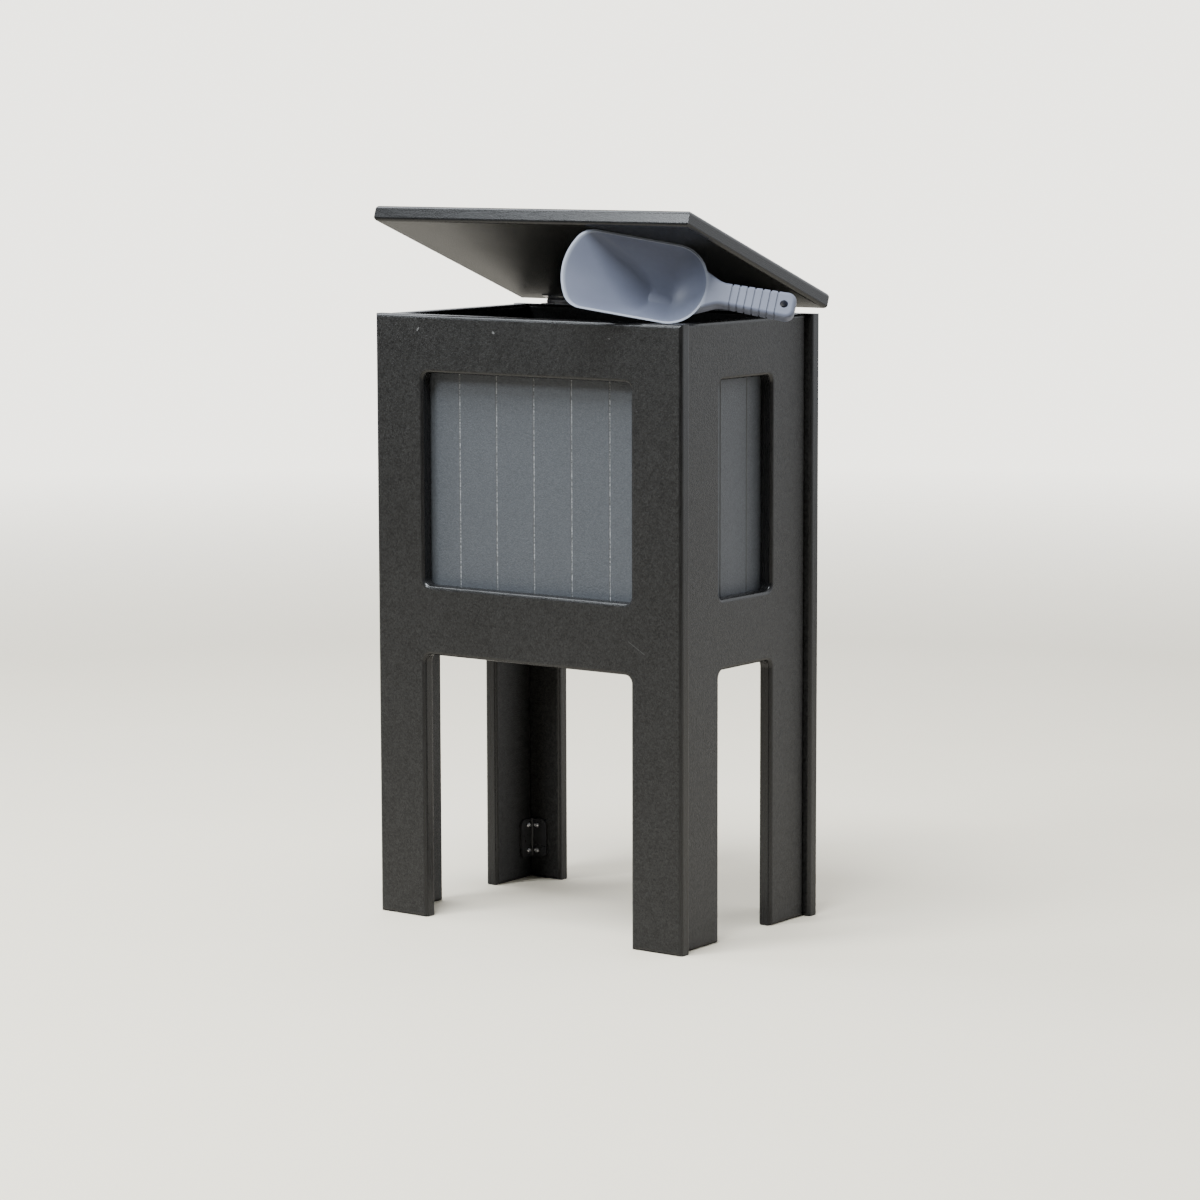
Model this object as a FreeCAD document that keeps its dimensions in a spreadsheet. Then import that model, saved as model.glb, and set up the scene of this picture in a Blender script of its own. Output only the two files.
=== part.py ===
import FreeCAD, Part
import math
import os
import Sketcher

# Divot mix box: four solid-plastic boards on their own legs, grooved inserts behind the windows,
# a hopper floor on cleats, a hinged lid, and a loose scoop that props the lid open.
# Millimetres, +Z up, origin on the ground below the middle of the box, front towards -Y.

Vec = FreeCAD.Vector
doc = FreeCAD.newDocument("divot_mix_box")
sheet = doc.addObject("Spreadsheet::Sheet", "dims")

# Driving dimensions: name, value, meaning
SIZES = [
    ("box_width", 468, "front and back boards, side to side"),
    ("box_depth", 302, "outside, front face to back face"),
    ("box_height", 762, "ground to rim"),
    ("panel_thick", 19, "all four boards"),
    ("edge_round", 5, "roundover on every board edge"),
    ("side_setback", 9, "front and back boards stand this far proud of the side boards"),
    ("leg_width", 75, "legs and window jambs of every board"),
    ("arch_height", 336.4, "ground to the crown of the leg arch"),
    ("arch_corner", 10, "radius in the arch corners"),
    ("window_sill", 424, "ground to the lower window edge"),
    ("window_drop", 72, "rim to the upper window edge"),
    ("window_corner", 9, "radius in the window corners"),
    ("insert_thick", 9.5, "grooved inserts"),
    ("insert_lap", 16, "insert behind the board round the window"),
    ("groove_pitch", 57.5, "between insert grooves"),
    ("groove_width", 2.6, "insert groove at the face"),
    ("groove_depth", 1.4, "insert groove"),
    ("front_grooves", 5, "grooves in the front and back inserts"),
    ("side_grooves", 2, "grooves in the left and right inserts"),
    ("cleat_size", 19, "square section of the floor cleats"),
    ("cleat_chamfer", 2.5, "cleat edges"),
    ("cleat_lift", 8, "arch crown to cleat underside"),
    ("cleat_screws", 3, "screws along each cleat"),
    ("cleat_screw_inset", 32, "first cleat screw from the cleat end"),
    ("floor_thick", 12, "hopper floor board"),
    ("floor_gap", 1, "floor board to the boards around it"),
    ("floor_corner", 6, "floor board corners"),
    ("drain_dia", 9.5, "drain holes in the floor"),
    ("drain_pitch", 90, "between drain holes"),
    ("drain_count", 3, "drain holes in a row"),
    ("bracket_flange", 26, "corner bracket, width of each flange"),
    ("bracket_thick", 3, "corner bracket wall"),
    ("bracket_tall", 50, "corner bracket height"),
    ("bracket_corner", 8, "corner bracket, free corners of a flange"),
    ("bracket_root", 2, "corner bracket, inside bend"),
    ("bracket_screw_gap", 34, "between the two screws of a flange"),
    ("bracket_screw_in", 10.5, "screw to the inside corner of the boards"),
    ("leg_bracket_level", 54.5, "ground to the middle of a leg bracket"),
    ("rim_bracket_drop", 46, "rim to the middle of a rim bracket"),
    ("screw_shank", 4, "screw shank diameter"),
    ("screw_head", 8, "screw head diameter"),
    ("screw_head_tall", 2.6, "screw head height"),
    ("screw_bite", 12, "screw length inside the piece it bites into"),
    ("screw_tip", 3, "pointed end of a screw"),
    ("screw_play", 0.2, "screw hole over the shank, on the radius"),
    ("lid_thick", 20.2, "lid board"),
    ("lid_side_over", 4.8, "lid past the front board's ends"),
    ("lid_back_over", 6.4, "lid past the back face"),
    ("lid_front_over", 16, "lid past the front face"),
    ("hinge_length", 378, "continuous hinge"),
    ("hinge_knuckles", 31, "knuckles of both leaves together"),
    ("hinge_barrel", 6.4, "knuckle diameter"),
    ("hinge_pin", 3.2, "pin diameter"),
    ("hinge_pin_play", 0.05, "pin to knuckle bore, on the radius"),
    ("hinge_leaf_thick", 1.2, "leaf plate"),
    ("hinge_leaf_proud", 0.3, "outer face of a leaf past the knuckles, clear of the other board"),
    ("hinge_leaf_width", 15.5, "pin axis to leaf edge"),
    ("hinge_knuckle_gap", 0.3, "between neighbouring knuckles"),
    ("hinge_screws", 7, "screws in each leaf"),
    ("hinge_screw_inset", 21, "first hinge screw from the hinge end"),
    ("hinge_screw_head", 6, "countersunk head diameter"),
    ("hinge_screw_shank", 3.4, "hinge screw shank diameter"),
    ("hinge_screw_bite", 13, "hinge screw length inside the board"),
    ("scoop_length", 284, "lip to handle end"),
    ("bowl_length", 177.3, "lip to closed end"),
    ("bowl_width", 107.2, "across the rim"),
    ("bowl_depth", 48, "rim to floor, outside"),
    ("bowl_wall", 2.5, "scoop wall"),
    ("bowl_lip_round", 85, "lip curve in plan"),
    ("bowl_lip_corner", 25, "lip corners in plan"),
    ("bowl_end_round", 62, "closed end curve in plan"),
    ("bowl_end_corner", 42, "closed end corners in plan"),
    ("bowl_end_sweep", 46, "closed end, rim to flat floor, along the axis"),
    ("bowl_floor_rise", 24, "degrees that the floor climbs to the lip"),
    ("bowl_fullness", 1.2, "exponent of the bowl's section, higher is boxier"),
    ("bowl_floor_share", 0.12, "flat floor as a share of the rim"),
    ("handle_neck", 62, "handle width at the bowl"),
    ("handle_waist", 30.5, "handle width at its narrowest"),
    ("handle_end", 35.5, "handle width at its end"),
    ("handle_waist_at", 16, "closed end of the bowl to the waist"),
    ("handle_thick", 16, "handle"),
    ("handle_round", 5, "handle edges"),
    ("handle_end_corner", 11, "handle end corners"),
    ("handle_neck_round", 25, "hollow of the neck"),
    ("handle_root", 14, "handle carried on into the bowl wall"),
    ("hang_hole", 10, "hang hole diameter"),
    ("hang_hole_in", 14, "hang hole to the handle end"),
    ("grip_grooves", 7, "grooves round the grip"),
    ("grip_pitch", 9.2, "between grip grooves"),
    ("grip_groove_width", 2.2, "grip groove"),
    ("grip_groove_depth", 1.4, "grip groove"),
    ("grip_end_gap", 23, "last grip groove to the handle end"),
    ("scoop_yaw", 29.3, "degrees, scoop axis from the front board's line"),
    ("scoop_dip", 10.0, "degrees that the handle dips"),
    ("scoop_lean", 30.2, "degrees that the bowl leans back"),
    ("scoop_end_out", 21.907, "closed end of the bowl past the inner face of the right board"),
    ("scoop_end_in", 63.019, "closed end of the bowl behind the front face"),
    ("rest_gap", 0.3, "scoop to rim, and scoop to lid"),
]
for row, (alias, value, meaning) in enumerate(SIZES, start=1):
    sheet.set(f"A{row}", alias)
    sheet.set(f"B{row}", str(value))
    sheet.set(f"C{row}", meaning)
    sheet.setAlias(f"B{row}", alias)
doc.recompute()


class Size:
    """A number together with the sheet formula that gives it."""

    def __init__(self, value, formula):
        self.value = float(value)
        self.formula = formula

    def __add__(self, other):
        other = as_size(other)
        return Size(self.value + other.value, f"({self.formula} + {other.formula})")

    def __sub__(self, other):
        other = as_size(other)
        return Size(self.value - other.value, f"({self.formula} - {other.formula})")

    def __mul__(self, other):
        other = as_size(other)
        return Size(self.value * other.value, f"({self.formula} * {other.formula})")

    def __truediv__(self, other):
        other = as_size(other)
        return Size(self.value / other.value, f"({self.formula} / {other.formula})")

    def __neg__(self):
        return self * -1

    __radd__ = __add__
    __rmul__ = __mul__


def as_size(number):
    return number if isinstance(number, Size) else Size(number, f"({number})")


def dim(alias):
    return Size(getattr(sheet, alias), f"dims.{alias}")


def num(alias):
    return float(getattr(sheet, alias))


# Values that several pieces share
WIDTH, DEPTH, HEIGHT = dim("box_width"), dim("box_depth"), dim("box_height")
THICK = dim("panel_thick")
SIDE_WIDTH = DEPTH - THICK * 2
FRONT_FACE = DEPTH / 2
SIDE_FACE = WIDTH / 2 - dim("side_setback")
FRONT_INNER = FRONT_FACE - THICK
SIDE_INNER = SIDE_FACE - THICK
CLEAT_LEVEL = dim("arch_height") + dim("cleat_lift")
FLOOR_LEVEL = CLEAT_LEVEL + dim("cleat_size")
BARREL_RADIUS = dim("hinge_barrel") / 2
LEAF_FACE = BARREL_RADIUS + dim("hinge_leaf_proud")
PIN_LEVEL = HEIGHT + LEAF_FACE
WINDOW_HEAD = HEIGHT - dim("window_drop")
HOLE_RADIUS = dim("screw_shank") / 2 + dim("screw_play")

# Each wall of the box: turn about Z, board width, outer face to the box middle, insert grooves
WALLS = {
    "front": (0, WIDTH, FRONT_FACE, "front_grooves"),
    "right": (90, SIDE_WIDTH, SIDE_FACE, "side_grooves"),
    "back": (180, WIDTH, FRONT_FACE, "front_grooves"),
    "left": (270, SIDE_WIDTH, SIDE_FACE, "side_grooves"),
}
# Each inside corner: turn about Z of a bracket whose flanges run along its own +X and +Y
CORNERS = {"front_left": 0, "front_right": 90, "back_right": 180, "back_left": 270}


# Document helpers
def bind(item, prop, size):
    item.setExpression(prop, as_size(size).formula)


def origin_part(body, role):
    return next(part for part in body.Origin.OriginFeatures if part.Role == role)


def new_body(label):
    body = doc.addObject("PartDesign::Body", label)
    body.Label = label
    return body


def new_sketch(body, role, name, lift=None):
    sketch = body.newObject("Sketcher::SketchObject", name)
    sketch.AttachmentSupport = (origin_part(body, role), [""])
    sketch.MapMode = "FlatFace"
    if lift is not None:
        bind(sketch, "AttachmentOffset.Base.z", lift)
    return sketch


def lock(sketch, geometry, point, across, along):
    """Ties one point of a sketch to its two coordinates."""
    for kind, axis, size in (("DistanceX", -2, as_size(across)), ("DistanceY", -1, as_size(along))):
        if size.value == 0:
            sketch.addConstraint(Sketcher.Constraint("PointOnObject", geometry, point, axis))
        else:
            row = sketch.addConstraint(Sketcher.Constraint(kind, -1, 1, geometry, point, size.value))
            bind(sketch, f"Constraints[{row}]", size)


def polygon(sketch, corners):
    first = sketch.GeometryCount
    count = len(corners)
    points = [Vec(as_size(x).value, as_size(y).value, 0) for x, y in corners]
    for index in range(count):
        sketch.addGeometry(Part.LineSegment(points[index], points[(index + 1) % count]))
    for index in range(count):
        following = first + (index + 1) % count
        sketch.addConstraint(Sketcher.Constraint("Coincident", first + index, 2, following, 1))
    for index, (across, along) in enumerate(corners):
        lock(sketch, first + index, 1, across, along)


def rectangle(sketch, low, high):
    polygon(sketch, [low, (high[0], low[1]), high, (low[0], high[1])])


def circles(sketch, centres, radius):
    radius = as_size(radius)
    for across, along in centres:
        middle = Vec(as_size(across).value, as_size(along).value, 0)
        index = sketch.addGeometry(Part.Circle(middle, Vec(0, 0, 1), radius.value))
        lock(sketch, index, 3, across, along)
        row = sketch.addConstraint(Sketcher.Constraint("Radius", index, radius.value))
        bind(sketch, f"Constraints[{row}]", radius)


def pad(body, sketch, length, name, symmetric=True, back=False):
    feature = body.newObject("PartDesign::Pad", name)
    feature.Profile = sketch
    bind(feature, "Length", length)
    feature.SideType = "Symmetric" if symmetric else "One side"
    feature.Reversed = back
    return feature


def cut_through(body, sketch, name):
    feature = body.newObject("PartDesign::Pocket", name)
    feature.Profile = sketch
    feature.Type = "ThroughAll"
    feature.SideType = "Symmetric"
    return feature


def repeat(body, originals, role, count, length, name):
    feature = body.newObject("PartDesign::LinearPattern", name)
    feature.Originals = originals
    feature.Direction = (origin_part(body, role), [""])
    bind(feature, "Length", length)
    bind(feature, "Occurrences", count)
    body.Tip = feature
    return feature


def round_edges(body, base, radius, picked, name):
    """Rounds the edges of the base feature for which picked(edge) is true."""
    doc.recompute()
    names = [f"Edge{index}" for index, edge in enumerate(base.Shape.Edges, start=1) if picked(edge)]
    feature = body.newObject("PartDesign::Fillet", name)
    feature.Base = (base, names)
    bind(feature, "Radius", radius)
    return feature


def runs_along(edge, axis):
    box = edge.BoundBox
    spans = (box.XLength, box.YLength, box.ZLength)
    return spans[axis] > 1e-6 and all(span < 1e-6 for index, span in enumerate(spans) if index != axis)


def lies_at(edge, axis, *levels):
    box = edge.BoundBox
    low = (box.XMin, box.YMin, box.ZMin)[axis]
    high = (box.XMax, box.YMax, box.ZMax)[axis]
    return any(abs(low - level) < 1e-4 and abs(high - level) < 1e-4 for level in levels)


def set_place(item, turn, across, along, level=0):
    """Turns a piece about Z and moves it, with the move tied to the sheet."""
    item.Placement = FreeCAD.Placement(Vec(), FreeCAD.Rotation(Vec(0, 0, 1), turn))
    for axis, size in zip("xyz", (across, along, level)):
        bind(item, f"Placement.Base.{axis}", size)


def at_wall(item, wall, inward, level=0):
    """Sets a piece in a wall's own frame: local +Y points into the box, inward runs from the outer face."""
    turn, width, face, grooves = WALLS[wall]
    reach = face - inward
    sine, cosine = round(math.sin(math.radians(turn))), round(math.cos(math.radians(turn)))
    set_place(item, turn, reach * sine, reach * -cosine, level)


# Boards
def make_panel(wall):
    turn, width, face, grooves = WALLS[wall]
    body = new_body(f"{wall}_panel")
    half, jamb, arch = width / 2, width / 2 - dim("leg_width"), dim("arch_height")
    outline = new_sketch(body, "XZ_Plane", f"{wall}_outline")
    polygon(outline, [(-half, 0), (-jamb, 0), (-jamb, arch), (jamb, arch),
                      (jamb, 0), (half, 0), (half, HEIGHT), (-half, HEIGHT)])
    pad(body, outline, THICK, f"{wall}_board")
    opening = new_sketch(body, "XZ_Plane", f"{wall}_window_outline")
    rectangle(opening, (-jamb, dim("window_sill")), (jamb, WINDOW_HEAD))
    base = cut_through(body, opening, f"{wall}_window")

    def at_jamb(edge):
        return runs_along(edge, 1) and abs(abs(edge.BoundBox.XMin) - jamb.value) < 1e-4

    def window_corner(edge):
        return at_jamb(edge) and lies_at(edge, 2, num("window_sill"), WINDOW_HEAD.value)

    def arch_corner(edge):
        return at_jamb(edge) and lies_at(edge, 2, num("arch_height"))

    base = round_edges(body, base, dim("window_corner"), window_corner, f"{wall}_window_corners")
    base = round_edges(body, base, dim("arch_corner"), arch_corner, f"{wall}_arch_corners")
    skin = num("panel_thick") / 2
    round_edges(body, base, dim("edge_round"), lambda edge: lies_at(edge, 1, -skin, skin), f"{wall}_edges")
    at_wall(body, wall, THICK / 2)
    return body


# Grooved inserts behind the windows
def insert_screw_spots(width):
    reach = width / 2 - dim("leg_width") + dim("insert_lap") / 2
    low = dim("window_sill") - dim("insert_lap") / 2
    high = WINDOW_HEAD + dim("insert_lap") / 2
    return [(side, level) for side in (-reach, reach) for level in (low, high)]


def make_insert(wall):
    turn, width, face, grooves = WALLS[wall]
    body = new_body(f"{wall}_insert")
    half = width / 2 - dim("leg_width") + dim("insert_lap")
    thick = dim("insert_thick")
    outline = new_sketch(body, "XZ_Plane", f"{wall}_insert_outline")
    rectangle(outline, (-half, dim("window_sill") - dim("insert_lap")),
              (half, WINDOW_HEAD + dim("insert_lap")))
    pad(body, outline, thick, f"{wall}_insert_board")
    holes = new_sketch(body, "XZ_Plane", f"{wall}_insert_hole_places")
    circles(holes, insert_screw_spots(width), HOLE_RADIUS)
    cut_through(body, holes, f"{wall}_insert_holes")
    spread = (dim(grooves) - 1) * dim("groove_pitch")
    middle, outer = spread / -2, thick / -2
    profile = new_sketch(body, "XY_Plane", f"{wall}_groove_profile")
    polygon(profile, [(middle - dim("groove_width") / 2, outer), (middle + dim("groove_width") / 2, outer),
                      (middle, outer + dim("groove_depth"))])
    groove = cut_through(body, profile, f"{wall}_groove")
    repeat(body, [groove], "X_Axis", dim(grooves), spread, f"{wall}_insert_grooves")
    at_wall(body, wall, THICK + thick / 2)
    return body


# Floor of the hopper and the cleats under it
def cleat_length(wall):
    if wall in ("front", "back"):
        return SIDE_INNER * 2 - dim("floor_gap") * 2
    return (FRONT_INNER - dim("cleat_size") - dim("floor_gap")) * 2


def cleat_screw_spots(wall):
    spread = cleat_length(wall) - dim("cleat_screw_inset") * 2
    count = round(num("cleat_screws"))
    return [spread * (index / (count - 1) - 0.5) for index in range(count)]


def make_cleat(wall):
    body = new_body(f"{wall}_cleat")
    half, side = cleat_length(wall) / 2, dim("cleat_size") / 2
    section = new_sketch(body, "XZ_Plane", f"{wall}_cleat_side")
    rectangle(section, (-half, -side), (half, side))
    bar = pad(body, section, dim("cleat_size"), f"{wall}_cleat_bar")
    doc.recompute()
    bevel = body.newObject("PartDesign::Chamfer", f"{wall}_cleat_bevel")
    inner = num("cleat_size") / 2
    edges = [f"Edge{index}" for index, edge in enumerate(bar.Shape.Edges, start=1)
             if runs_along(edge, 0) and lies_at(edge, 1, inner) and lies_at(edge, 2, -inner)]
    bevel.Base = (bar, edges)
    bind(bevel, "Size", dim("cleat_chamfer"))
    holes = new_sketch(body, "XZ_Plane", f"{wall}_cleat_hole_places")
    circles(holes, [(spot, 0) for spot in cleat_screw_spots(wall)], HOLE_RADIUS)
    cut_through(body, holes, f"{wall}_cleat_holes")
    at_wall(body, wall, THICK + side, CLEAT_LEVEL + side)
    return body


def floor_screw_spots():
    """Floor screws stand over the middles of the front and back cleats, between the cleat screws."""
    spots = cleat_screw_spots("front")
    between = [(spots[index] + spots[index + 1]) / 2 for index in range(len(spots) - 1)]
    reach = FRONT_INNER - dim("cleat_size") / 2
    return [(across, side) for side in (-reach, reach) for across in between]


def make_floor():
    body = new_body("floor_panel")
    half_width, half_depth = SIDE_INNER - dim("floor_gap"), FRONT_INNER - dim("floor_gap")
    outline = new_sketch(body, "XY_Plane", "floor_outline")
    rectangle(outline, (-half_width, -half_depth), (half_width, half_depth))
    board = pad(body, outline, dim("floor_thick"), "floor_board", symmetric=False)
    round_edges(body, board, dim("floor_corner"), lambda edge: runs_along(edge, 2), "floor_corners")
    holes = new_sketch(body, "XY_Plane", "floor_hole_places")
    circles(holes, floor_screw_spots(), HOLE_RADIUS)
    count = round(num("drain_count"))
    drains = [(dim("drain_pitch") * (index - (count - 1) / 2), 0) for index in range(count)]
    circles(holes, drains, dim("drain_dia") / 2)
    cut_through(body, holes, "floor_holes")
    set_place(body, 0, 0, 0, FLOOR_LEVEL)
    return body


# Corner brackets, low in the legs and high under the rim
def make_bracket(prefix, corner, level):
    label = f"{prefix}_bracket_{corner}"
    body = new_body(label)
    flange, wall = dim("bracket_flange"), dim("bracket_thick")
    section = new_sketch(body, "XY_Plane", f"{label}_section")
    polygon(section, [(0, 0), (flange, 0), (flange, wall), (wall, wall), (wall, flange), (0, flange)])
    base = pad(body, section, dim("bracket_tall"), f"{label}_angle")
    root, end = num("bracket_thick"), num("bracket_flange")
    top = num("bracket_tall") / 2

    def bend(edge):
        return runs_along(edge, 2) and lies_at(edge, 0, root) and lies_at(edge, 1, root)

    def free_corner(edge):
        at_end = runs_along(edge, 1) and lies_at(edge, 0, end) or runs_along(edge, 0) and lies_at(edge, 1, end)
        return at_end and lies_at(edge, 2, -top, top)

    base = round_edges(body, base, dim("bracket_root"), bend, f"{label}_bend")
    round_edges(body, base, dim("bracket_corner"), free_corner, f"{label}_free_corners")
    spots = [(dim("bracket_screw_in"), dim("bracket_screw_gap") * share) for share in (-0.5, 0.5)]
    for role in ("XZ_Plane", "YZ_Plane"):
        holes = new_sketch(body, role, f"{label}_{role[:2]}_hole_places")
        circles(holes, spots, HOLE_RADIUS)
        cut_through(body, holes, f"{label}_{role[:2]}_holes")
    turn = CORNERS[corner]
    side = SIDE_INNER if corner.endswith("right") else -SIDE_INNER
    depth = FRONT_INNER if corner.startswith("back") else -FRONT_INNER
    set_place(body, turn, side, depth, level)
    return body


# Continuous hinge, in a frame with its origin on the pin axis
def hinge_screw_run():
    return dim("hinge_length") - dim("hinge_screw_inset") * 2


def make_leaf(label, upper):
    body = new_body(label)
    side = 1 if upper else -1
    plate_outer = LEAF_FACE * side
    plate_inner = (LEAF_FACE - dim("hinge_leaf_thick")) * side
    low, high = (plate_inner, plate_outer) if upper else (plate_outer, plate_inner)
    clear = BARREL_RADIUS + dim("hinge_knuckle_gap")
    pitch = dim("hinge_length") / dim("hinge_knuckles")
    length = pitch - dim("hinge_knuckle_gap")
    count = (dim("hinge_knuckles") + (-1 if upper else 1)) / 2
    start = dim("hinge_length") / -2 + dim("hinge_knuckle_gap") / 2 + pitch * (1 if upper else 0)

    plate_shape = new_sketch(body, "YZ_Plane", f"{label}_plate_end")
    rectangle(plate_shape, (-dim("hinge_leaf_width"), low), (-clear, high))
    pad(body, plate_shape, dim("hinge_length"), f"{label}_plate")
    tab_shape = new_sketch(body, "YZ_Plane", f"{label}_tab_end", lift=start)
    rectangle(tab_shape, (clear * -1.2, low), (0, high))
    tab = pad(body, tab_shape, length, f"{label}_tab", symmetric=False)
    ring_shape = new_sketch(body, "YZ_Plane", f"{label}_ring_end", lift=start)
    circles(ring_shape, [(0, 0)], BARREL_RADIUS)
    circles(ring_shape, [(0, 0)], dim("hinge_pin") / 2 + dim("hinge_pin_play"))
    ring = pad(body, ring_shape, length, f"{label}_ring", symmetric=False)
    repeat(body, [tab, ring], "X_Axis", count, pitch * 2 * (count - 1), f"{label}_knuckles")

    sink = body.newObject("PartDesign::SubtractiveCone", f"{label}_sink")
    sink.AttachmentSupport = (origin_part(body, "XY_Plane"), [""])
    sink.MapMode = "FlatFace"
    wide = dim("hinge_screw_head") / 2 + dim("screw_play")
    narrow = dim("hinge_screw_shank") / 2 + dim("screw_play")
    bind(sink, "Radius1", wide if upper else narrow)
    bind(sink, "Radius2", narrow if upper else wide)
    bind(sink, "Height", dim("hinge_leaf_thick"))
    bind(sink, "AttachmentOffset.Base.x", hinge_screw_run() / -2)
    bind(sink, "AttachmentOffset.Base.y", (dim("hinge_leaf_width") + clear) / -2)
    bind(sink, "AttachmentOffset.Base.z", low)
    repeat(body, [sink], "X_Axis", dim("hinge_screws"), hinge_screw_run(), f"{label}_sinks")
    return body


def make_pin():
    pin = doc.addObject("Part::Cylinder", "hinge_pin")
    bind(pin, "Radius", dim("hinge_pin") / 2)
    bind(pin, "Height", dim("hinge_length"))
    pin.Placement = FreeCAD.Placement(Vec(), FreeCAD.Rotation(Vec(0, 1, 0), 90))
    for axis, size in zip("xyz", (dim("hinge_length") / -2, FRONT_FACE, PIN_LEVEL)):
        bind(pin, f"Placement.Base.{axis}", size)
    return pin


# Lid, in the same frame as the hinge
def make_lid():
    body = new_body("lid")
    half = WIDTH / 2 + dim("lid_side_over")
    outline = new_sketch(body, "XY_Plane", "lid_outline", lift=LEAF_FACE)
    rectangle(outline, (-half, -(DEPTH + dim("lid_front_over"))), (half, dim("lid_back_over")))
    board = pad(body, outline, dim("lid_thick"), "lid_board", symmetric=False)
    under = LEAF_FACE.value
    over = under + num("lid_thick")
    round_edges(body, board, dim("edge_round"), lambda edge: lies_at(edge, 2, under, over), "lid_edges")
    return body


def at_pin(item, opening=0):
    """Sets a piece in the hinge frame, turned open by a number of degrees."""
    item.Placement = FreeCAD.Placement(Vec(), FreeCAD.Rotation(Vec(-1, 0, 0), opening))
    bind(item, "Placement.Base.y", FRONT_FACE)
    bind(item, "Placement.Base.z", PIN_LEVEL)


# Scoop, in a frame with its rim in the XY plane, its axis along +X from the lip, its open side up
def bowl_waterline(half, lip, end, level):
    """Outline of the bowl at one level: lip and closed end as wide arcs, tangent corner arcs, straight sides."""
    share = half / (num("bowl_width") / 2)
    lip_round, lip_corner = num("bowl_lip_round") * share, num("bowl_lip_corner") * share
    end_round, end_corner = num("bowl_end_round") * share, num("bowl_end_corner") * share
    run = math.sqrt((lip_round - lip_corner) ** 2 - (half - lip_corner) ** 2)
    end_run = math.sqrt((end_round - end_corner) ** 2 - (half - end_corner) ** 2)
    lip_turn = math.pi - math.atan2(half - lip_corner, run)
    end_turn = math.atan2(half - end_corner, end_run)

    def arc(across, along, radius, start, finish):
        middle = Vec(across, along, level)
        headings = (start, (start + finish) / 2, finish)
        return Part.Arc(*(middle + Vec(math.cos(turn), math.sin(turn), 0) * radius for turn in headings)).toShape()

    def straight(start, finish, along):
        return Part.makeLine(Vec(start, along, level), Vec(finish, along, level))

    lip_at, end_at = lip + lip_round - run, end - end_round + end_run
    full, quarter = 2 * math.pi, math.pi / 2
    return Part.Wire([
        arc(lip + lip_round, 0, lip_round, lip_turn, full - lip_turn),
        arc(lip_at, lip_corner - half, lip_corner, full - lip_turn, 3 * quarter),
        straight(lip_at, end_at, -half),
        arc(end_at, end_corner - half, end_corner, 3 * quarter, full - end_turn),
        arc(end - end_round, 0, end_round, -end_turn, end_turn),
        arc(end_at, half - end_corner, end_corner, end_turn, quarter),
        straight(end_at, lip_at, half),
        arc(lip_at, half - lip_corner, lip_corner, quarter, lip_turn),
    ])


def bowl_form(name, inset, above):
    """The bowl as a solid, lofted from its rim down to its floor, drawn in by the inset."""
    depth, levels = num("bowl_depth") - inset, 8
    climb = math.tan(math.radians(num("bowl_floor_rise")))
    floor_share = num("bowl_floor_share")
    lines = []
    for index in range(levels + 1):
        sunk = 1 - (1 - index / levels) ** 2
        share = math.sqrt(1 - (1 - floor_share ** 2) * sunk ** num("bowl_fullness"))
        half = (num("bowl_width") / 2 - inset) * share
        end = num("bowl_length") - inset - num("bowl_end_sweep") * (1 - share)
        lines.append(bowl_waterline(half, inset + depth * sunk / climb, end, -depth * sunk))
    solid = Part.makeLoft(lines, True, False)
    if above > 0:
        solid = solid.fuse(Part.Face(lines[0]).extrude(Vec(0, 0, above)))
    form = doc.addObject("Part::Feature", name)
    form.Shape = solid
    return form


def handle_form(name, inset):
    """The handle: a flared neck, a waist and a wider round-cornered end, with rounded edges."""
    body = new_body(name)
    root, end = dim("bowl_length") - dim("handle_root"), dim("scoop_length") - inset
    waist = dim("bowl_length") + dim("handle_waist_at")
    widths = [(root, dim("handle_neck")), (waist, dim("handle_waist")), (end, dim("handle_end"))]
    lower = [(station, width / -2 + inset) for station, width in widths]
    upper = [(station, width / 2 - inset) for station, width in reversed(widths)]
    outline = new_sketch(body, "XY_Plane", f"{name}_outline", lift=Size(-inset, f"({-inset})"))
    polygon(outline, lower + upper)
    base = pad(body, outline, dim("handle_thick") - inset * 2, f"{name}_bar", symmetric=False, back=True)
    end_at, waist_at = end.value, waist.value
    base = round_edges(body, base, dim("handle_end_corner") - inset,
                       lambda edge: runs_along(edge, 2) and lies_at(edge, 0, end_at), f"{name}_end_corners")
    base = round_edges(body, base, dim("handle_neck_round") + inset,
                       lambda edge: runs_along(edge, 2) and lies_at(edge, 0, waist_at), f"{name}_neck")
    top, bottom = -inset, inset - num("handle_thick")
    root_at = root.value

    def long_edge(edge):
        return lies_at(edge, 2, top, bottom) and not lies_at(edge, 0, root_at)

    round_edges(body, base, dim("handle_round") - inset, long_edge, f"{name}_edges")
    return body


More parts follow.
